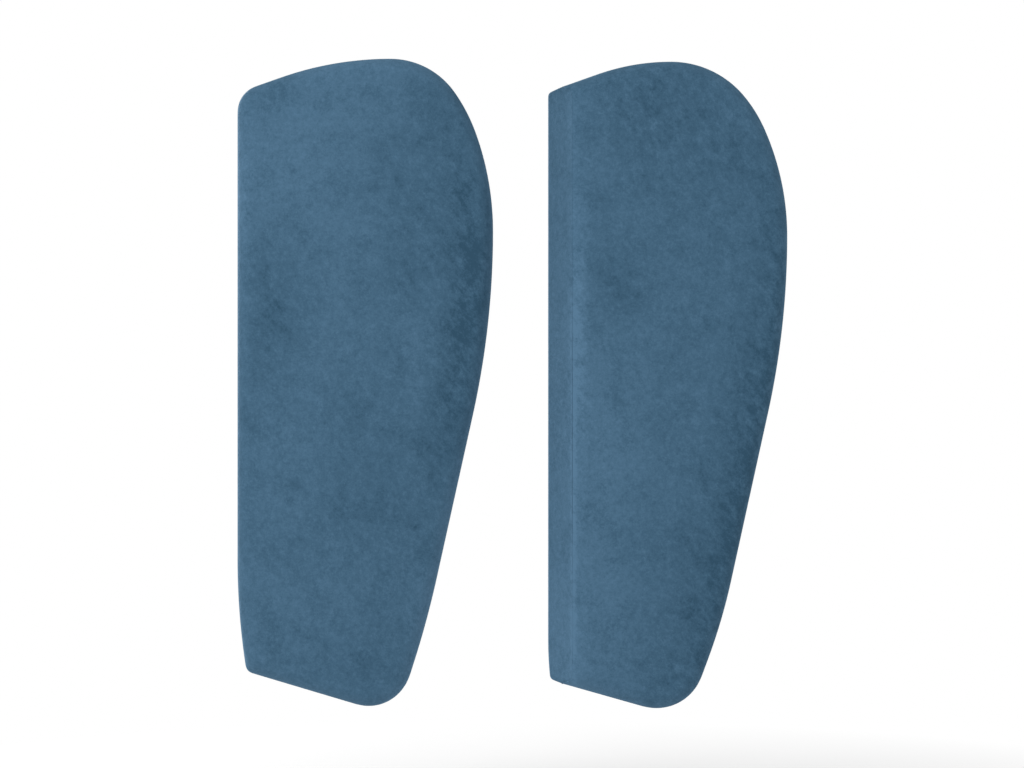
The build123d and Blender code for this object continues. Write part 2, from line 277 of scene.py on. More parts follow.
def face_rounding(gap):
    """Depth of the rounded front edge at a distance in from the rim."""
    inside = FACE_ROUNDING - np.clip(gap, 0, FACE_ROUNDING)
    return FACE_ROUNDING - np.sqrt(FACE_ROUNDING ** 2 - inside ** 2)


def strip_depth(x):
    """Depth of pad B's folded-back strip."""
    return (RIDGE_X - x) * STRIP_DEPTH / RIDGE_X


def crossing(first, second):
    """The point between two outline points where the strip meets the side seam."""
    share = (STRIP_END_X - first.real) / (second.real - first.real)
    return first + share * (second - first)


def ridge_line(rim, foot, top):
    """Pad B's ridge seam from foot to top, where the strip meets the face or its rounded edge."""
    heights = np.linspace(foot.imag, top.imag, round((top.imag - foot.imag) / OUTLINE_STEP) + 1)[1:-1]
    low = np.full(len(heights), STRIP_END_X)
    high = np.full(len(heights), RIDGE_X)
    for _ in range(RIDGE_HALVINGS):
        middle = (low + high) / 2
        gap = distance(middle + 1j * heights, rim, closed=False)
        face_ahead = strip_depth(middle) > face_rounding(gap)
        low = np.where(face_ahead, middle, low)
        high = np.where(face_ahead, high, middle)
    return high + 1j * heights


# ---- meshes in pad coordinates: rows of x, z and depth ----


def stacked(flat, depth):
    """Points as rows of x, z and depth."""
    return np.column_stack([flat.real, flat.imag, np.broadcast_to(depth, flat.shape)])


def filled(loop, insets, lattice=True, window=None):
    """Triangles over a loop, with rings at the insets and a lattice inside them. A window is left open
    further in than its inset. Gives the flat points, the faces and where the loop's own points are."""
    parts = [loop]
    for inset in insets:
        ring = loop + inset * inward(loop)
        parts.append(ring[distance(ring, loop) > inset - NEARLY])
    if lattice:
        rows = np.arange(loop.imag.min(), loop.imag.max(), LATTICE * math.sqrt(3) / 2)
        columns = np.arange(loop.real.min(), loop.real.max(), LATTICE)
        grid = columns[None, :] + 1j * rows[:, None] + LATTICE / 2 * (np.arange(len(rows)) % 2)[:, None]
        grid = grid.ravel()
        parts.append(grid[inside(grid, loop) & (distance(grid, loop) > insets[-1] + 0.6 * LATTICE)])
    points = np.concatenate(parts)
    vectors = [Vector((point.real, point.imag)) for point in points]
    found, _, faces, origins, _, _ = delaunay_2d_cdt(vectors, [], [list(range(len(loop)))], 1, 1e-7)
    place = {origin: number for number, group in enumerate(origins) for origin in group}
    flat = np.array([point.x + 1j * point.y for point in found])
    if window:
        deep = distance(flat, loop) > window - NEARLY
        faces = [face for face in faces if not all(deep[number] for number in face)]
    return flat, [list(face) for face in faces], [place[number] for number in range(len(loop))]


def inside(points, loop):
    """Which points lie within a loop, by counting how often it crosses a line to the right of each."""
    starts, ends = loop, np.roll(loop, -1)
    above = (starts.imag > points.imag[:, None]) != (ends.imag > points.imag[:, None])
    rise = np.where(ends.imag == starts.imag, 1, ends.imag - starts.imag)
    at = starts.real + (points.imag[:, None] - starts.imag) / rise * (ends.real - starts.real)
    return (above & (points.real[:, None] < at)).sum(1) % 2 == 1


def bridged(first, second, closed=True):
    """Quads between two rows of vertex numbers."""
    count = len(first) if closed else len(first) - 1
    return [
        [first[i], first[(i + 1) % len(first)], second[(i + 1) % len(first)], second[i]] for i in range(count)
    ]


def turned_in(rows, faces, edge, retreat, into, closed=True):
    """Curls an edge into a seam: the edge draws back from it, and two more rows lead down into the groove."""
    seam = rows[edge].copy()
    rows[edge] = seam + retreat
    first = np.arange(len(seam)) + len(rows)
    second = first + len(seam)
    rows = np.vstack([rows, seam + LIP_BACK * retreat + LIP_IN * into, seam + into])
    faces = faces + bridged(edge, list(first), closed) + bridged(list(first), list(second), closed)
    return rows, faces


def softened(vectors, passes=2):
    """Vectors along a closed loop, each averaged with its neighbours."""
    for _ in range(passes):
        vectors = (np.roll(vectors, 1, 0) + 2 * vectors + np.roll(vectors, -1, 0)) / 4
    return vectors


def uneven(points, length, seed):
    """Smooth noise from -1 to 1 at rows of three coordinates."""
    return np.array([noise.noise(Vector(point) / length + Vector((seed, seed, seed))) for point in points])


class Pad:
    """One pad's outline and its place in the frame."""

    def __init__(self, name, shape):
        self.name = name
        self.body = "pad_" + name
        self.bevelled = shape["bevelled"]
        self.straight, self.rest = outline(shape)
        self.loop = np.concatenate([self.straight, self.rest])
        side_low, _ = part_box("side_band_" + name)
        face_low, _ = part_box("face_panel_" + name)
        self.left = side_low.x
        self.base = side_low.z - self.loop.imag.min()
        self.face_y = face_low.y
        if self.bevelled:
            self.find_ridge()

    def find_ridge(self):
        """Splits the outline where the strip's corners meet the side seam, and finds the ridge between."""
        self.rim = np.append(self.rest, self.straight[0])
        right = np.nonzero(self.rim.real > STRIP_END_X)[0]
        first, last = right[0], right[-1]
        foot = crossing(self.rim[first - 1], self.rim[first])
        top = crossing(self.rim[last], self.rim[last + 1])
        self.ridge = ridge_line(self.rim, foot, top)
        self.right_side = np.concatenate([[foot], self.rim[first:last + 1], [top]])
        self.left_side = np.concatenate(
            [[top], self.rim[last + 1:-1], self.straight, self.rim[:first], [foot]]
        )
        self.loop = np.concatenate([self.left_side, self.right_side[1:-1]])

    def placed(self, rows):
        """Pad coordinates to the frame."""
        return np.column_stack([self.left + rows[:, 0], self.face_y + rows[:, 2], self.base + rows[:, 1]])

    def local(self, points):
        """The frame back to flat pad coordinates and depths."""
        return points[:, 0] - self.left + 1j * (points[:, 2] - self.base), points[:, 1] - self.face_y

    def side_depth(self, flat):
        """Depth at which the side wall starts, at points of the outline."""
        if not self.bevelled:
            return np.full(len(flat), SEAM_DEPTH)
        return np.maximum(SEAM_DEPTH, strip_depth(flat.real))


def roll_width(directions):
    """How far in from its edge the face rises to its crown, by which way that edge faces."""
    right = np.clip(-directions.real, 0, 1)
    left = np.clip(directions.real, 0, 1)
    return ROLL_ENDS + (ROLL_RIGHT - ROLL_ENDS) * right + (ROLL_LEFT - ROLL_ENDS) * left


def crown_rise(flat, loop):
    """How far the stuffed face stands proud at flat points, from nothing at its edges."""
    widths = roll_width(inward(loop))
    nearest = (abs(flat[:, None] - loop) / widths).min(1)
    return CROWN * np.sin(math.pi / 2 * np.clip(nearest, 0, 1))


def mesh_object(name, points, faces, outside):
    """A cleaned mesh object whose faces look outwards: outside gives that direction at a face's middle."""
    data = bpy.data.meshes.new(name)
    data.from_pydata([tuple(point) for point in points], [], faces)
    work = bmesh.new()
    work.from_mesh(data)
    bmesh.ops.remove_doubles(work, verts=work.verts, dist=MERGED)
    bmesh.ops.dissolve_degenerate(work, edges=work.edges, dist=DEGENERATE)
    bmesh.ops.join_triangles(
        work, faces=work.faces, angle_face_threshold=0.6, angle_shape_threshold=0.7, topology_influence=1.0
    )
    loose = [vertex for vertex in work.verts if not vertex.link_faces]
    bmesh.ops.delete(work, geom=loose, context="VERTS")
    bmesh.ops.recalc_face_normals(work, faces=work.faces)
    if sum(face.normal.dot(outside(face.calc_center_median())) * face.calc_area() for face in work.faces) < 0:
        bmesh.ops.reverse_faces(work, faces=work.faces)
    for face in work.faces:
        face.smooth = True
    work.to_mesh(data)
    work.free()
    made = bpy.data.objects.new(name, data)
    bpy.context.scene.collection.objects.link(made)
    return made


def coordinates(mesh):
    """A mesh's points as an array."""
    flat = np.zeros(len(mesh.vertices) * 3)
    mesh.vertices.foreach_get("co", flat)
    return flat.reshape(-1, 3)


def move_points(mesh, points):
    """Puts a mesh's points at the rows of an array."""
    mesh.vertices.foreach_set("co", points.ravel())
    mesh.update()


def applied(made, kind, **settings):
    """Adds a modifier and applies it."""
    modifier = made.modifiers.new(kind.lower(), kind)
    for key, value in settings.items():
        setattr(modifier, key, value)
    shaped = bpy.data.meshes.new_from_object(made.evaluated_get(bpy.context.evaluated_depsgraph_get()))
    made.modifiers.clear()
    old = made.data
    made.data = shaped
    bpy.data.meshes.remove(old)


def inflated(made, free):
    """Presses a cloth out from inside with its edge held, and keeps the bulge as far as SWELL allows."""
    group = made.vertex_groups.new(name="held")
    for number, share in enumerate(free):
        group.add([number], 1 - share, "REPLACE")
    modifier = made.modifiers.new("cloth", "CLOTH")
    settings = modifier.settings
    settings.quality = 5
    settings.vertex_group_mass = "held"
    settings.use_pressure = True
    settings.uniform_pressure_force = SWELL_PRESSURE
    settings.effector_weights.gravity = 0
    settings.tension_stiffness = 20
    settings.compression_stiffness = 20
    settings.bending_stiffness = 2
    before = coordinates(made.data)
    scene = bpy.context.scene
    for number in range(1, CLOTH_FRAMES + 1):
        scene.frame_set(number)
    after = coordinates(made.evaluated_get(bpy.context.evaluated_depsgraph_get()).data)
    made.modifiers.clear()
    made.vertex_groups.clear()
    scene.frame_set(1)
    moves = after - before
    far = np.maximum(np.linalg.norm(moves, axis=1), 1e-9)
    kept = SWELL * np.tanh(far / SWELL) / far * free
    move_points(made.data, before + moves * kept[:, None])


# ---- the covers ----


def ridge_groove(points):
    """How far and which way pad B's ridge seam is drawn in: deepest below its middle."""
    strip_in = np.array([STRIP_DEPTH, 0, RIDGE_X]) / math.hypot(STRIP_DEPTH, RIDGE_X)
    halfway = (strip_in + [0, 0, 1]) / np.linalg.norm(strip_in + [0, 0, 1])
    share = np.exp(-((points.imag - RIDGE_GROOVE_Z) / RIDGE_GROOVE_REACH) ** 4)
    return (RIDGE_GROOVE + (RIDGE_GROOVE_DEEPEST - RIDGE_GROOVE) * share)[:, None] * halfway


def face_loop(pad):
    """The edge of the face panel, and for each point which way its seam lies back and in."""
    if not pad.bevelled:
        loop = pad.loop
        on_ridge = np.zeros(len(loop))
    else:
        loop = np.concatenate([pad.right_side, pad.ridge[::-1]])
        on_ridge = np.concatenate([np.zeros(len(pad.right_side)), np.ones(len(pad.ridge))])
    rim_in = stacked(inward(loop), 0)
    into = np.where(on_ridge[:, None], ridge_groove(loop), SEAM_GROOVE * rim_in)
    retreat = np.where(on_ridge[:, None], [RIDGE_RETREAT, 0, 0], [0, 0, -SEAM_RETREAT])
    return loop, softened(retreat), softened(into)


def face_cover(pad):
    """The face panel: rounded at its rim, crowned by its stuffing and curled into its seam."""
    loop, retreat, into = face_loop(pad)
    flat, faces, edge = filled(loop, FACE_INSETS)
    gap = distance(flat, pad.rim, closed=False) if pad.bevelled else distance(flat, loop)
    rows = stacked(flat, face_rounding(gap) - crown_rise(flat, loop))
    rows, faces = turned_in(rows, faces, edge, retreat, into)
    cover = mesh_object("face_cover_" + pad.name, pad.placed(rows), faces, lambda centre: Vector((0, -1, 0)))
    flat, _ = pad.local(coordinates(cover.data))
    inner = distance(flat, loop) * inside(flat, loop)
    inflated(cover, beyond(inner, SWELL_CLEARANCE))
    applied(cover, "SUBSURF", levels=1)
    points = coordinates(cover.data)
    flat, depth = pad.local(points)
    inner = distance(flat, loop) * inside(flat, loop)
    points[:, 1] += LUMP * uneven(points, LUMP_LENGTH, 3) * smooth(inner / LUMP_FADE)
    near_seam = np.exp(-inner / PUCKER_REACH) * (depth < SEAM_DEPTH - SEAM_RETREAT / 2)
    points[:, 1] -= PUCKER * uneven(points, PUCKER_LENGTH, 7) * near_seam
    move_points(cover.data, points)
    applied(cover, "SOLIDIFY", thickness=SUEDE_THICKNESS, offset=-1)
    return cover


def side_wall(pad):
    """The side wall from its seam to the turn-under, in rows of the outline's points."""
    loop = pad.loop
    start = pad.side_depth(loop)
    seamed = np.ones(len(loop))
    if pad.bevelled:
        run = np.arange(len(loop))
        seamed = smooth(np.minimum(run - len(pad.left_side) + 1, len(loop) - run) / CORNER_FADE)
    into = inward(loop)
    along = stacked(loop, 0)
    rows = []
    for lip_in, lip_down in ((1, 0), (LIP_IN, LIP_BACK), (0, 1)):
        rows.append((lip_in * SEAM_GROOVE * seamed, start + lip_down * SEAM_RETREAT * seamed))
    top = start + SEAM_RETREAT * seamed
    for share in WALL_SHARES:
        rows.append((-SIDE_BULGE * np.sin(math.pi * share), top + (WALL_FOOT - top) * share))
    for inset, short in BACK_EDGE:
        rows.append((inset, np.full(len(loop), COVER_BACK - short)))
    points = []
    for inset, depth in rows:
        flat = loop + inset * into
        near = np.exp(-np.minimum(depth - start, COVER_BACK - depth) / WALL_PUCKER_REACH)
        near *= np.maximum(seamed, 1 - np.exp(-(depth - start) / STRIP_JOIN_REACH))
        places = np.column_stack([along[:, 0], along[:, 1], depth / 3])
        pucker = PUCKER * near * uneven(places, PUCKER_LENGTH, 11)
        points.append(stacked(flat + pucker * into, depth))
    count = len(loop)
    faces = []
    for row in range(len(rows) - 1):
        first = list(range(row * count, (row + 1) * count))
        faces += bridged(first, [number + count for number in first])
    return np.vstack(points), faces


def solid_centres(node):
    """The middle of each separate solid of a CAD node."""
    work = bmesh.new()
    work.from_mesh(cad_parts[node].data)
    bmesh.ops.remove_doubles(work, verts=work.verts, dist=1e-6)
    seen = set()
    centres = []
    for start in work.verts:
        if start in seen:
            continue
        seen.add(start)
        edge = [start]
        group = []
        while edge:
            vertex = edge.pop()
            group.append(vertex.co.copy())
            for link in vertex.link_edges:
                other = link.other_vert(vertex)
                if other not in seen:
                    seen.add(other)
                    edge.append(other)
        centres.append(sum(group, Vector()) / len(group))
    work.free()
    return np.array(centres)


def turn_under(pad, wall_foot):
    """The cover's edge on the pad's back: pleated round the corners and pressed down by its staples."""
    flat, faces, _ = filled(wall_foot, FLANGE_INSETS, lattice=False, window=FLANGE_INSETS[-1])
    gap = distance(flat, wall_foot)
    centres, _ = pad.local(solid_centres("cover_staples_" + pad.name))
    staple_gap = abs(flat[:, None] - centres).min(1)
    turning = abs(np.angle(np.roll(inward(wall_foot), -1) / inward(wall_foot)))
    tight = softened(smooth(turning / TIGHT_TURN)[:, None], TIGHT_PASSES)[:, 0]
    nearest = abs(flat[:, None] - wall_foot).argmin(1)
    pleats = 0.5 + 0.5 * np.sin(2 * math.pi * nearest * OUTLINE_STEP / PLEAT_LENGTH)
    shown = smooth(gap / PLEAT_FADE) * smooth((PLEAT_INNER - gap) / PLEAT_FADE)
    puff = PUFF * beyond(staple_gap, PUFF_CLEARANCE) * shown
    pleated = PLEAT_HEIGHT * pleats ** 2 * tight[nearest] * shown * beyond(staple_gap, PLEAT_CLEARANCE)
    return stacked(flat, COVER_BACK + (puff + pleated)), faces


def strip(pad):
    """Pad B's flat strip, folded back from the ridge to the side wall."""
    loop = np.concatenate([pad.left_side, pad.ridge])
    flat, faces, edge = filled(loop, STRIP_INSETS)
    rows = stacked(flat, strip_depth(flat.real))
    chain_edge = edge[len(pad.left_side):]
    down = np.array([-RIDGE_X, 0, STRIP_DEPTH]) / math.hypot(STRIP_DEPTH, RIDGE_X)
    count = len(chain_edge)
    fade = smooth(np.minimum(np.arange(count) + 1, count - np.arange(count)) / CORNER_FADE)[:, None]
    return turned_in(
        rows, faces, chain_edge, RIDGE_RETREAT * fade * down, fade * ridge_groove(pad.ridge), closed=False
    )


def side_cover(pad):
    """The side band with its turn-under and, on pad B, the strip."""
    rows, faces = side_wall(pad)
    count = len(pad.loop)
    last = rows[-count:]
    parts = [(rows, faces), turn_under(pad, last[:, 0] + 1j * last[:, 1])]
    if pad.bevelled:
        parts.append(strip(pad))
    all_rows, all_faces, total = [], [], 0
    for part_rows, part_faces in parts:
        all_rows.append(part_rows)
        all_faces += [[number + total for number in face] for face in part_faces]
        total += len(part_rows)
    middle = Vector(sum(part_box("side_band_" + pad.name), Vector()) / 2)
    cover = mesh_object(
        "side_cover_" + pad.name, pad.placed(np.vstack(all_rows)), all_faces, lambda centre: centre - middle
    )
    applied(cover, "SUBSURF", levels=1)
    applied(cover, "SOLIDIFY", thickness=SUEDE_THICKNESS, offset=-1)
    return cover


def slackness(pad, flat, loop):
    """How free the dust cloth is at flat points: not at its staples or bumpers, nor behind a rail."""
    staples, _ = pad.local(solid_centres("dust_cloth_staples_" + pad.name))
    bumpers, _ = pad.local(solid_centres("wall_bumpers_" + pad.name))
    free = beyond(abs(flat[:, None] - staples).min(1), STAPLE_CLEARANCE)
    free *= beyond(abs(flat[:, None] - bumpers).min(1), BUMPER_CLEARANCE)
    free *= beyond(distance(flat, loop), HEM_CLEARANCE)
    x, z = flat.real + pad.left, flat.imag + pad.base
    for node in RAILS:
        low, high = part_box(node + pad.name)
        aside = np.maximum(low.x - x, x - high.x)
        free *= beyond(np.maximum(aside, np.maximum(low.z - RAIL_LIFT - z, z - high.z)), RAIL_CLEARANCE)
    return free


def folds(places, kind):
    """Heights of narrow folds, which come and go along the lines where a stretched noise is nought."""
    height, stretch, length, seed = kind
    crest = np.exp(-(uneven(places * [1, stretch, 1], length, seed) / FOLD_SHARPNESS) ** 2)
    return height * (crest * smooth(FOLD_SHARE + FOLD_CONTRAST * uneven(places, FOLD_PATCH, seed + 0.5)))


def dust_sheet(pad):
    """Thin cloth over the back, stapled on the turn-under and lying slack on the board inside it."""
    ring = pad.loop + DUST_CLOTH_EDGE * inward(pad.loop)
    loop = ring[distance(ring, pad.loop) > DUST_CLOTH_EDGE - NEARLY]
    flat, faces, _ = filled(loop, CLOTH_INSETS)
    gap = distance(flat, loop)
    staples, _ = pad.local(solid_centres("dust_cloth_staples_" + pad.name))
    rim_step = (DUST_CLOTH_RIM - DUST_CLOTH_BACK) * (1 - beyond(gap, RIM_STEP_CLEARANCE))
    between = BETWEEN_STAPLES * beyond(abs(flat[:, None] - staples).min(1), BETWEEN_CLEARANCE)
    between = between * smooth(gap / BETWEEN_FADE) * (gap < BETWEEN_INNER)
    rows = stacked(flat, DUST_CLOTH_BACK + rim_step + between)
    sheet = mesh_object("dust_sheet_" + pad.name, pad.placed(rows), faces, lambda centre: Vector((0, 1, 0)))
    applied(sheet, "SUBSURF", levels=1)
    points = coordinates(sheet.data)
    flat, _ = pad.local(points)
    places = stacked(flat, 0)
    slack = folds(places, UPRIGHT_FOLDS) + folds(places @ SLANT, SLANTED_FOLDS)
    points[:, 1] += slack * slackness(pad, flat, loop)
    move_points(sheet.data, points)
    area = sum(face.area for face in sheet.data.polygons)
    applied(sheet, "SOLIDIFY", thickness=DUST_CLOTH_THICKNESS, offset=-1)
    return sheet, (np.ptp(loop.real), np.ptp(loop.imag)), area


# ---- materials ----


class Finish:
    """A material whose nodes are added in short calls."""

    def __init__(self, name, **settings):
        self.material = bpy.data.materials.new(name)
        self.material.use_nodes = True
        self.tree = self.material.node_tree
        self.shader = self.tree.nodes["Principled BSDF"]
        for socket, value in settings.items():
            self.shader.inputs[socket.replace("_", " ")].default_value = value
        self.place = self.node("ShaderNodeTexCoord").outputs["Object"]

    def node(self, kind, **settings):
        """Adds a node with its properties set."""
        made = self.tree.nodes.new(kind)
        for key, value in settings.items():
            setattr(made, key, value)
        return made

    def feed(self, socket, value):
        """Links another node's socket to a socket, or sets a plain value on it."""
        if isinstance(value, bpy.types.NodeSocket):
            self.tree.links.new(value, socket)
        else:
            socket.default_value = value

    def maths(self, operation, *values):
        """The result of a math node."""
        made = self.node("ShaderNodeMath", operation=operation)
        for socket, value in zip(made.inputs, values):
            self.feed(socket, value)
        return made.outputs[0]

    def stretched(self, stretch, turn=(0, 0, 0)):
        """The place turned and then stretched."""
        rotate = self.node("ShaderNodeVectorRotate", rotation_type="EULER_XYZ")
        self.feed(rotate.inputs["Vector"], self.place)
        rotate.inputs["Rotation"].default_value = [math.radians(angle) for angle in turn]
        scale = self.node("ShaderNodeVectorMath", operation="MULTIPLY")
        self.feed(scale.inputs[0], rotate.outputs[0])
        scale.inputs[1].default_value = stretch
        return scale.outputs[0]

    def noise(self, size, detail=2, rough=0.5, warp=0, place=None):
        """Noise whose largest features are about size across."""
        made = self.node("ShaderNodeTexNoise")
        self.feed(made.inputs["Vector"], place or self.place)
        made.inputs["Scale"].default_value = 1 / size
        made.inputs["Detail"].default_value = detail
        made.inputs["Roughness"].default_value = rough
        made.inputs["Distortion"].default_value = warp
        return made.outputs["Fac"]

    def cells(self, size, feature="F1", place=None):
        """Distances in a cell pattern."""
        made = self.node("ShaderNodeTexVoronoi", feature=feature)
        self.feed(made.inputs["Vector"], place or self.place)
        made.inputs["Scale"].default_value = 1 / size
        return made.outputs["Distance"]

    def attribute(self, name):
        """A value stored on the mesh."""
        made = self.node("ShaderNodeAttribute", attribute_name=name)
        return made.outputs["Fac"]

    def ramp(self, value, stops):
        """Colours by value."""
        made = self.node("ShaderNodeValToRGB")
        band = made.color_ramp
        for number, (position, colour) in enumerate(stops):
            stop = band.elements[number] if number < 2 else band.elements.new(position)
            stop.position = position
            stop.color = (*colour, 1)
        self.feed(made.inputs[0], value)
        return made.outputs[0]

    def spread(self, value, low, high, start=0, end=1):
        """Maps a value from one range to another."""
        made = self.node("ShaderNodeMapRange")
        for socket, given in zip(made.inputs, (value, start, end, low, high)):
            self.feed(socket, given)
        return made.outputs[0]

    def colour(self, value):
        """Drives the base colour."""
        self.feed(self.shader.inputs["Base Color"], value)

    def roughness(self, value):
        """Drives the roughness."""
        self.feed(self.shader.inputs["Roughness"], value)

    def bump(self, height, distance, strength=1.0):
        """Raises the surface by height times distance."""
        made = self.node("ShaderNodeBump")
        made.inputs["Strength"].default_value = strength
        made.inputs["Distance"].default_value = distance
        self.feed(made.inputs["Height"], height)
        self.feed(self.shader.inputs["Normal"], made.outputs[0])


SUEDE_DARK = (0.0245, 0.0640, 0.1060)
SUEDE_MIDDLE = (0.0455, 0.1030, 0.1640)
SUEDE_LIGHT = (0.0770, 0.1570, 0.2440)


def suede():
    """Blue suede, mottled where its pile has been brushed, with painted highlights and painted shade from the
    stored marks.
    """
    finish = Finish("blue_suede", Roughness=0.95, Sheen_Weight=0.18, Sheen_Roughness=0.5)
    finish.shader.inputs["Sheen Tint"].default_value = (0.42, 0.72, 1.0, 1)
    finish.shader.inputs["Specular IOR Level"].default_value = 0.06
    clouds = finish.noise(0.110, detail=2, rough=0.5)
    patches = finish.noise(0.036, detail=9, rough=0.80, warp=0.15)
    brushed = finish.noise(0.010, detail=5, rough=0.80, place=finish.stretched((1, 1, 0.55), (0, 35, 0)))
    speckle = finish.noise(0.0050, detail=4, rough=0.85)
    grain = finish.noise(0.0020, detail=2, rough=0.8)
    dark_patches = finish.spread(patches, -1, 0, start=0.36, end=0.52)
    rough_nap = finish.maths("MULTIPLY_ADD", dark_patches, -0.40, 0.85)
    fine = finish.maths("MULTIPLY", finish.maths("SUBTRACT", speckle, 0.5), 1.05)
    fine = finish.maths("MULTIPLY_ADD", finish.maths("SUBTRACT", grain, 0.5), 0.48, fine)
    tone = finish.maths("MULTIPLY_ADD", finish.maths("SUBTRACT", clouds, 0.5), 0.30, 0.58)
    tone = finish.maths("MULTIPLY_ADD", dark_patches, 0.21, tone)
    tone = finish.maths("MULTIPLY_ADD", finish.maths("SUBTRACT", brushed, 0.5), 0.40, tone)
    tone = finish.maths("MULTIPLY_ADD", fine, rough_nap, tone)
    # The stored marks add brushed pile, painted highlights and painted shade, broken up by the brushed noise.
    broken_nap_and_painted_light = finish.spread(brushed, 1.7, 0.3, start=0.36, end=0.64)
    tone = finish.maths("MULTIPLY_ADD", finish.attribute("nap"), broken_nap_and_painted_light, tone)
    finish.colour(finish.ramp(tone, [(0.0, SUEDE_DARK), (1.0, SUEDE_LIGHT), (0.5, SUEDE_MIDDLE)]))
    finish.roughness(finish.spread(speckle, 0.85, 1.0))
    finish.bump(finish.maths("ADD", speckle, grain), 0.00045, 0.7)
    return finish.material


def black_dust_cloth():
    """Thin bonded black cloth with a pattern of pressed points."""
    finish = Finish("black_dust_cloth", Roughness=0.8)
    finish.shader.inputs["Specular IOR Level"].default_value = 0.4
    fibres = finish.noise(0.0022, detail=5, rough=0.8, warp=2.5)
    dots = finish.cells(0.0022)
    points = finish.spread(dots, 1, 0, start=0.15, end=0.32)
    patches = finish.noise(0.03, detail=3, rough=0.6)
    tone = finish.maths("MULTIPLY_ADD", patches, 0.35, finish.maths("MULTIPLY", fibres, 0.8))
    finish.colour(finish.ramp(tone, [(0.3, (0.010, 0.010, 0.011)), (0.9, (0.048, 0.048, 0.052))]))
    finish.roughness(finish.spread(points, 0.72, 0.38))
    finish.bump(finish.maths("SUBTRACT", fibres, finish.maths("MULTIPLY", points, 0.6)), 0.0003, 0.6)
    return finish.material


def rail_aluminium():
    """Drawn aluminium with fine lines along the rail and light scuffs."""
    finish = Finish("anodised_aluminium", Metallic=1.0)
    lines = finish.noise(0.0012, detail=3, rough=0.7, place=finish.stretched((0.02, 1, 1)))
    scuffs = finish.noise(0.018, detail=6, rough=0.75, warp=1.2)
    tone = finish.maths("MULTIPLY_ADD", lines, 0.5, finish.maths("MULTIPLY", scuffs, 0.5))
    finish.colour(finish.ramp(tone, [(0.3, (0.46, 0.47, 0.48)), (0.7, (0.66, 0.67, 0.68))]))
    finish.roughness(finish.spread(scuffs, 0.28, 0.52, start=0.3, end=0.7))
    finish.bump(lines, 0.00006, 0.5)
    return finish.material


def zinc_steel():
    """Bright zinc plating with a faint bloom."""
    finish = Finish("zinc_plated_steel", Metallic=1.0)
    bloom = finish.noise(0.004, detail=4, rough=0.7, warp=0.8)
    spangle = finish.cells(0.0015)
    shades = [(0.35, (0.42, 0.43, 0.45)), (0.65, (0.70, 0.69, 0.64)), (0.5, (0.56, 0.57, 0.58))]
    finish.colour(finish.ramp(bloom, shades))
    finish.roughness(finish.spread(spangle, 0.25, 0.45))
    finish.bump(bloom, 0.00005, 0.4)
    return finish.material


def staple_wire():
    """Galvanised wire."""
    finish = Finish("galvanised_wire", Metallic=1.0)
    drawn = finish.noise(0.0006, detail=3, rough=0.6)
    dull = finish.noise(0.006, detail=3, rough=0.6)
    finish.colour(finish.ramp(dull, [(0.3, (0.40, 0.40, 0.41)), (0.7, (0.62, 0.62, 0.61))]))
    finish.roughness(finish.spread(drawn, 0.3, 0.5))
    finish.bump(drawn, 0.00003, 0.4)
    return finish.material


def bumper_rubber():
    """Black rubber with a pale bloom."""
    finish = Finish("black_rubber", Roughness=0.75)
    bloom = finish.noise(0.006, detail=4, rough=0.7)
    pores = finish.noise(0.0007, detail=3, rough=0.7)
    finish.colour(finish.ramp(bloom, [(0.3, (0.011, 0.011, 0.012)), (0.75, (0.038, 0.038, 0.037))]))
    finish.roughness(finish.spread(bloom, 0.6, 0.85, start=0.3, end=0.7))
    finish.bump(pores, 0.00010, 0.5)
    return finish.material


def birch_plywood():
    """Birch plywood with upright grain and thin plies."""
    finish = Finish("birch_plywood", Roughness=0.6)
    grain = finish.noise(0.010, detail=5, rough=0.65, warp=0.8, place=finish.stretched((1, 1, 0.08)))
    pores = finish.noise(0.0012, detail=2, rough=0.6, place=finish.stretched((1, 1, 0.1)))
    depth = finish.node("ShaderNodeSeparateXYZ")
    finish.feed(depth.inputs[0], finish.place)
    plies = finish.maths("PINGPONG", depth.outputs["Y"], 0.0013)
    tone = finish.maths("MULTIPLY_ADD", grain, 0.8, finish.maths("MULTIPLY", plies, 150))
    finish.colour(finish.ramp(tone, [(0.25, (0.44, 0.29, 0.15)), (0.75, (0.72, 0.55, 0.35))]))
    finish.roughness(finish.spread(pores, 0.5, 0.75))
    finish.bump(finish.maths("ADD", grain, pores), 0.0002, 0.5)
    return finish.material


def foam(name, cell, dark, light):
    """Open-cell foam with cells of one size and smaller ones among them."""
    finish = Finish(name, Roughness=0.9, Subsurface_Weight=0.1)
    finish.shader.inputs["Subsurface Radius"].default_value = (0.004, 0.003, 0.002)
    holes = finish.cells(cell)
    small = finish.cells(cell * 0.4)
    age = finish.noise(0.05, detail=4, rough=0.6)
    tone = finish.maths("MULTIPLY_ADD", holes, 0.5, finish.maths("MULTIPLY", age, 0.7))
    finish.colour(finish.ramp(tone, [(0.25, dark), (0.75, light)]))
    finish.roughness(finish.spread(age, 0.8, 1.0))
    finish.bump(finish.maths("ADD", holes, small), cell * 0.4, 0.7)
    return finish.material


def polyester_wadding():
    """Lofty white fibres."""
    finish = Finish("polyester_wadding", Roughness=0.85, Sheen_Weight=0.3, Subsurface_Weight=0.2)
    finish.shader.inputs["Subsurface Radius"].default_value = (0.006, 0.006, 0.006)
    fibres = finish.noise(0.004, detail=7, rough=0.85, warp=3)
    loft = finish.noise(0.03, detail=3, rough=0.6)
    tone = finish.maths("MULTIPLY_ADD", fibres, 0.6, finish.maths("MULTIPLY", loft, 0.4))
    finish.colour(finish.ramp(tone, [(0.3, (0.62, 0.62, 0.60)), (0.7, (0.86, 0.86, 0.84))]))
    finish.roughness(finish.spread(loft, 0.75, 1.0))
    finish.bump(fibres, 0.0009, 0.8)
    return finish.material
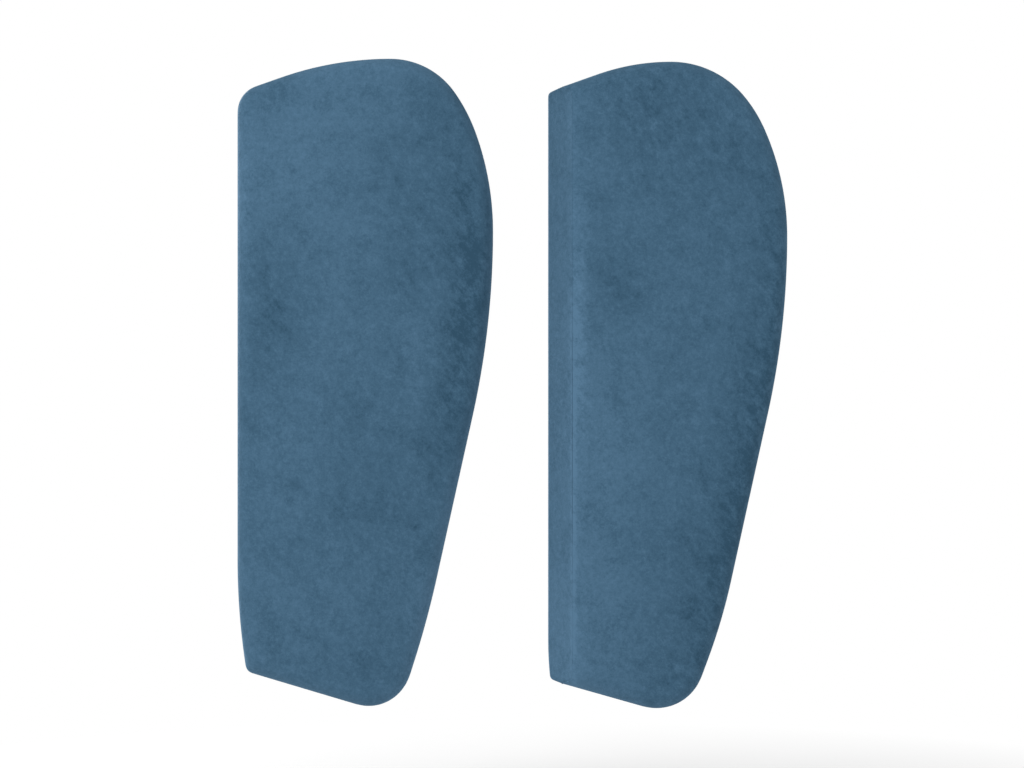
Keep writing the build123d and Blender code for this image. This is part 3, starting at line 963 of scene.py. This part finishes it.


# ---- the suede's brushed marks and painted highlights ----
# Each mark is a place, a half width and half height, and how much lighter or darker the pile lies there;
# the lighter marks along edges, the ridge and the strip are painted highlights.
NAP_MARKS_AND_PAINTED_HIGHLIGHTS = {
    "a": [
        # Pad A's first three marks are painted highlights on its left edge, upper left and top edge.
        (0.004 + 0.500j, 0.014, 0.080, 0.18),
        (0.070 + 0.560j, 0.080, 0.090, 0.11),
        (0.100 + 0.645j, 0.110, 0.020, 0.10),
        (0.036 + 0.390j, 0.028, 0.060, -0.20),
        (0.170 + 0.440j, 0.022, 0.032, -0.12),
        (0.161 + 0.523j, 0.006, 0.014, -0.16),
        (0.061 + 0.221j, 0.009, 0.007, -0.22),
        (0.130 + 0.230j, 0.050, 0.200, -0.08),
        (0.190 + 0.500j, 0.040, 0.060, -0.12),
        (0.225 + 0.600j, 0.040, 0.060, -0.10),
        (0.185 + 0.090j, 0.030, 0.060, 0.06),
    ],
    "b": [
        (0.010 + 0.635j, 0.018, 0.035, -0.22),
        # The next seven marks are painted highlights along pad B's ridge and over its strip.
        (0.022 + 0.590j, 0.005, 0.050, 0.14),
        (0.029 + 0.390j, 0.009, 0.130, 0.34),
        (0.0245 + 0.200j, 0.0026, 0.190, 0.44),
        (0.008 + 0.300j, 0.016, 0.200, 0.06),
        (0.008 + 0.040j, 0.016, 0.100, 0.14),
        (0.030 + 0.050j, 0.012, 0.120, 0.12),
        (0.050 + 0.210j, 0.035, 0.230, 0.12),
        (0.100 + 0.600j, 0.050, 0.065, -0.20),
        (0.070 + 0.420j, 0.026, 0.034, -0.20),
        (0.180 + 0.580j, 0.080, 0.100, -0.11),
        (0.197 + 0.466j, 0.024, 0.003, -0.08),
    ],
}
# Painted shade lies in bands along the right side, where the face rolls away from the light; pad A's narrow
# light band is a painted sheen highlight at its very edge. Each band gives how far in, how wide, where it is
# strongest, how far it fades upwards and downwards, and how strong.
PAINTED_SHADE_AND_SHEEN_BANDS = {
    "a": [(0.022, 0.020, 0.420, 0.110, 0.210, -0.44), (0.002, 0.008, 0.120, 0.140, 0.200, 0.20)],
    "b": [(0.004, 0.040, 0.260, 0.230, 0.330, -0.40)],
}

# How far the brushed marks, painted highlights and painted shade fade out towards the back.
NAP_AND_PAINTED_LIGHT_FADE = 0.015
FACES_RIGHT = -0.5


def nap(pad, flat):
    """How much lighter or darker the pile lies at flat points, with painted highlights and painted shade
    added in.
    """
    tone = np.zeros(len(flat))
    for place, width, height, strength in NAP_MARKS_AND_PAINTED_HIGHLIGHTS[pad.name]:
        off = flat - place
        tone += strength * np.exp(-(off.real / width) ** 2 - (off.imag / height) ** 2)
    # The painted shade and painted sheen bands run along the outline's right-facing points.
    right = pad.loop[inward(pad.loop).real < FACES_RIGHT]
    gap = distance(flat, right[np.argsort(right.imag)], closed=False)
    for inset, width, height, above, below, strength in PAINTED_SHADE_AND_SHEEN_BANDS[pad.name]:
        fade = np.exp(-((flat.imag - height) / np.where(flat.imag > height, above, below)) ** 2)
        tone += strength * np.exp(-((gap - inset) / width) ** 2) * fade
    return tone


def store_nap_and_painted_light(made, pad):
    """Stores the brushed marks with their painted highlights and painted shade on a cover's points, fading on
    the side away from the face.
    """
    flat, depth = pad.local(coordinates(made.data))
    # The brushed marks, painted highlights and painted shade fade out down the side wall towards the back.
    tone = nap(pad, flat) * smooth((BOARD_BACK - depth) / NAP_AND_PAINTED_LIGHT_FADE)
    stored = made.data.attributes.new("nap", "FLOAT", "POINT")
    stored.data.foreach_set("value", tone.astype(np.float32))


# ---- putting the object together ----


def dress_node(name, material, bevel=0):
    """Gives a CAD node its material and breaks its sharp edges."""
    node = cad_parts[name]
    node.data.materials.clear()
    node.data.materials.append(material)
    if bevel:
        modifier = node.modifiers.new("edges", "BEVEL")
        modifier.width = bevel
        modifier.segments = 2
        modifier.limit_method = "ANGLE"
        modifier.angle_limit = math.radians(40)
        modifier.harden_normals = True


MATERIALS = {
    "suede": suede(),
    "dust_cloth": black_dust_cloth(),
    "rail_aluminium": rail_aluminium(),
    "zinc_steel": zinc_steel(),
    "staple_steel": staple_wire(),
    "bumper_rubber": bumper_rubber(),
    "plywood": birch_plywood(),
    "strike_foam": foam("firm_foam", 0.0012, (0.40, 0.42, 0.43), (0.56, 0.58, 0.59)),
    "core_foam": foam("soft_foam", 0.0022, (0.62, 0.52, 0.30), (0.82, 0.74, 0.50)),
    "wadding": polyester_wadding(),
}
PAD_NODES = [
    ("wadding", "wadding", 0),
    ("strike_foam", "strike_foam", 0),
    ("core_foam", "core_foam", 0),
    ("backing_board", "plywood", 0.0002),
    ("tee_nuts", "zinc_steel", 0.0001),
    ("cover_staples", "staple_steel", 0.00012),
    ("dust_cloth_staples", "staple_steel", 0.00012),
    ("upper_pad_rail", "rail_aluminium", 0.0003),
    ("lower_pad_rail", "rail_aluminium", 0.0003),
    ("upper_wall_rail", "rail_aluminium", 0.0003),
    ("lower_wall_rail", "rail_aluminium", 0.0003),
    ("rail_screws", "zinc_steel", 0.00025),
    ("bumper_screws", "zinc_steel", 0.0002),
    ("wall_bumpers", "bumper_rubber", 0.0002),
]


def finish_piece(made, pad, slot, node):
    """Gives a new piece its material and its body, and hides the CAD node that it stands for."""
    made.data.materials.clear()
    made.data.materials.append(MATERIALS[slot])
    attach(made, pad.body)
    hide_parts(node + "_" + pad.name)


def build_pad(name):
    """Every visible piece of one pad."""
    pad = Pad(name, PADS[name])
    face = face_cover(pad)
    side = side_cover(pad)
    sheet, flat_size, area = dust_sheet(pad)
    store_nap_and_painted_light(face, pad)
    store_nap_and_painted_light(side, pad)
    finish_piece(face, pad, "suede", "face_panel")
    finish_piece(side, pad, "suede", "side_band")
    finish_piece(sheet, pad, "dust_cloth", "dust_cloth")
    for node, material, bevel in PAD_NODES:
        dress_node(node + "_" + name, MATERIALS[material], bevel)


# ---- room, light and camera ----
FLOOR_Z = -0.12
FLOOR_SIZE = 30
FLOOR_PLAIN = 0.2
FLOOR_BRIGHT = 0.9
CAMERA_DISTANCE = 2.8304
CAMERA_X = -0.0004
CAMERA_HEIGHT = 0.3242
LENS = 100
SENSOR = 36
ROOM_BELOW = 0.45
ROOM_ABOVE = 0.85
ROOM_BEHIND = 0.3
ROOM_BEHIND_AT = 0.6
LIGHTS = [
    ("key_light", (-2.2, -2.3, 1.9), 1.6, 60),
    ("fill_light", (2.4, -2.0, 0.9), 2.2, 10),
    ("back_light", (-1.9, 2.4, 1.0), 0.8, 90),
]


def white_floor():
    """A pale floor that brightens into the white room further from the object."""
    bpy.ops.mesh.primitive_plane_add(size=FLOOR_SIZE, location=(0, 0, FLOOR_Z))
    floor = bpy.context.object
    floor.name = "floor"
    finish = Finish("pale_floor", Roughness=0.7)
    cloud = finish.noise(0.8, detail=3)
    finish.colour(finish.ramp(cloud, [(0.3, (0.80, 0.80, 0.80)), (0.7, (0.84, 0.84, 0.84))]))
    reach = finish.node("ShaderNodeVectorMath", operation="LENGTH")
    finish.feed(reach.inputs[0], finish.place)
    bright = finish.spread(reach.outputs["Value"], 0, 1, start=FLOOR_PLAIN, end=FLOOR_BRIGHT)
    white = finish.node("ShaderNodeEmission")
    mix = finish.node("ShaderNodeMixShader")
    finish.feed(mix.inputs[0], bright)
    finish.feed(mix.inputs[1], finish.shader.outputs[0])
    finish.feed(mix.inputs[2], white.outputs[0])
    output = finish.tree.nodes["Material Output"]
    finish.feed(output.inputs["Surface"], mix.outputs[0])
    floor.data.materials.append(finish.material)


def white_room():
    """A white surrounding that lights the object a little more from above, and less from behind."""
    world = bpy.data.worlds.new("white_room")
    bpy.context.scene.world = world
    world.use_nodes = True
    nodes, links = world.node_tree.nodes, world.node_tree.links
    place = nodes.new("ShaderNodeTexCoord")
    split = nodes.new("ShaderNodeSeparateXYZ")
    links.new(place.outputs["Generated"], split.inputs[0])
    height = nodes.new("ShaderNodeMapRange")
    height.inputs["From Min"].default_value = -1
    height.inputs["To Min"].default_value = ROOM_BELOW
    height.inputs["To Max"].default_value = ROOM_ABOVE
    links.new(split.outputs["Z"], height.inputs["Value"])
    behind = nodes.new("ShaderNodeMapRange")
    behind.inputs["From Max"].default_value = ROOM_BEHIND_AT
    behind.inputs["To Min"].default_value = 1
    behind.inputs["To Max"].default_value = ROOM_BEHIND
    links.new(split.outputs["Y"], behind.inputs["Value"])
    light = nodes.new("ShaderNodeMath")
    light.operation = "MULTIPLY"
    links.new(height.outputs[0], light.inputs[0])
    links.new(behind.outputs[0], light.inputs[1])
    seen = nodes.new("ShaderNodeLightPath")
    either = nodes.new("ShaderNodeMix")
    either.data_type = "FLOAT"
    links.new(seen.outputs["Is Camera Ray"], either.inputs["Factor"])
    links.new(light.outputs[0], either.inputs["A"])
    either.inputs["B"].default_value = 1
    links.new(either.outputs["Result"], nodes["Background"].inputs["Strength"])
    nodes["Background"].inputs["Color"].default_value = (1, 1, 1, 1)


def soft_light(name, location, size, power):
    """An area light that points at the middle of the object."""
    lamp = bpy.data.lights.new(name, "AREA")
    lamp.size = size
    lamp.energy = power
    made = bpy.data.objects.new(name, lamp)
    made.location = location
    middle = Vector((0, 0, sum(corner.z for corner in cad_box) / 2))
    made.rotation_euler = (middle - made.location).to_track_quat("-Z", "Y").to_euler()
    bpy.context.scene.collection.objects.link(made)


def front_camera():
    """A long lens that looks straight at the pads' faces."""
    camera = bpy.data.cameras.new("camera")
    camera.lens = LENS
    camera.sensor_width = SENSOR
    made = bpy.data.objects.new("camera", camera)
    made.location = (CAMERA_X, cad_box[0].y - CAMERA_DISTANCE, CAMERA_HEIGHT)
    made.rotation_euler = (math.radians(90), 0, 0)
    bpy.context.scene.collection.objects.link(made)
    bpy.context.scene.camera = made


front_camera()
white_room()
white_floor()
for light_name, light_place, light_size, light_power in LIGHTS:
    soft_light(light_name, light_place, light_size, light_power)
bpy.context.scene.view_settings.view_transform = "Standard"

for pad_name in PADS:
    build_pad(pad_name)
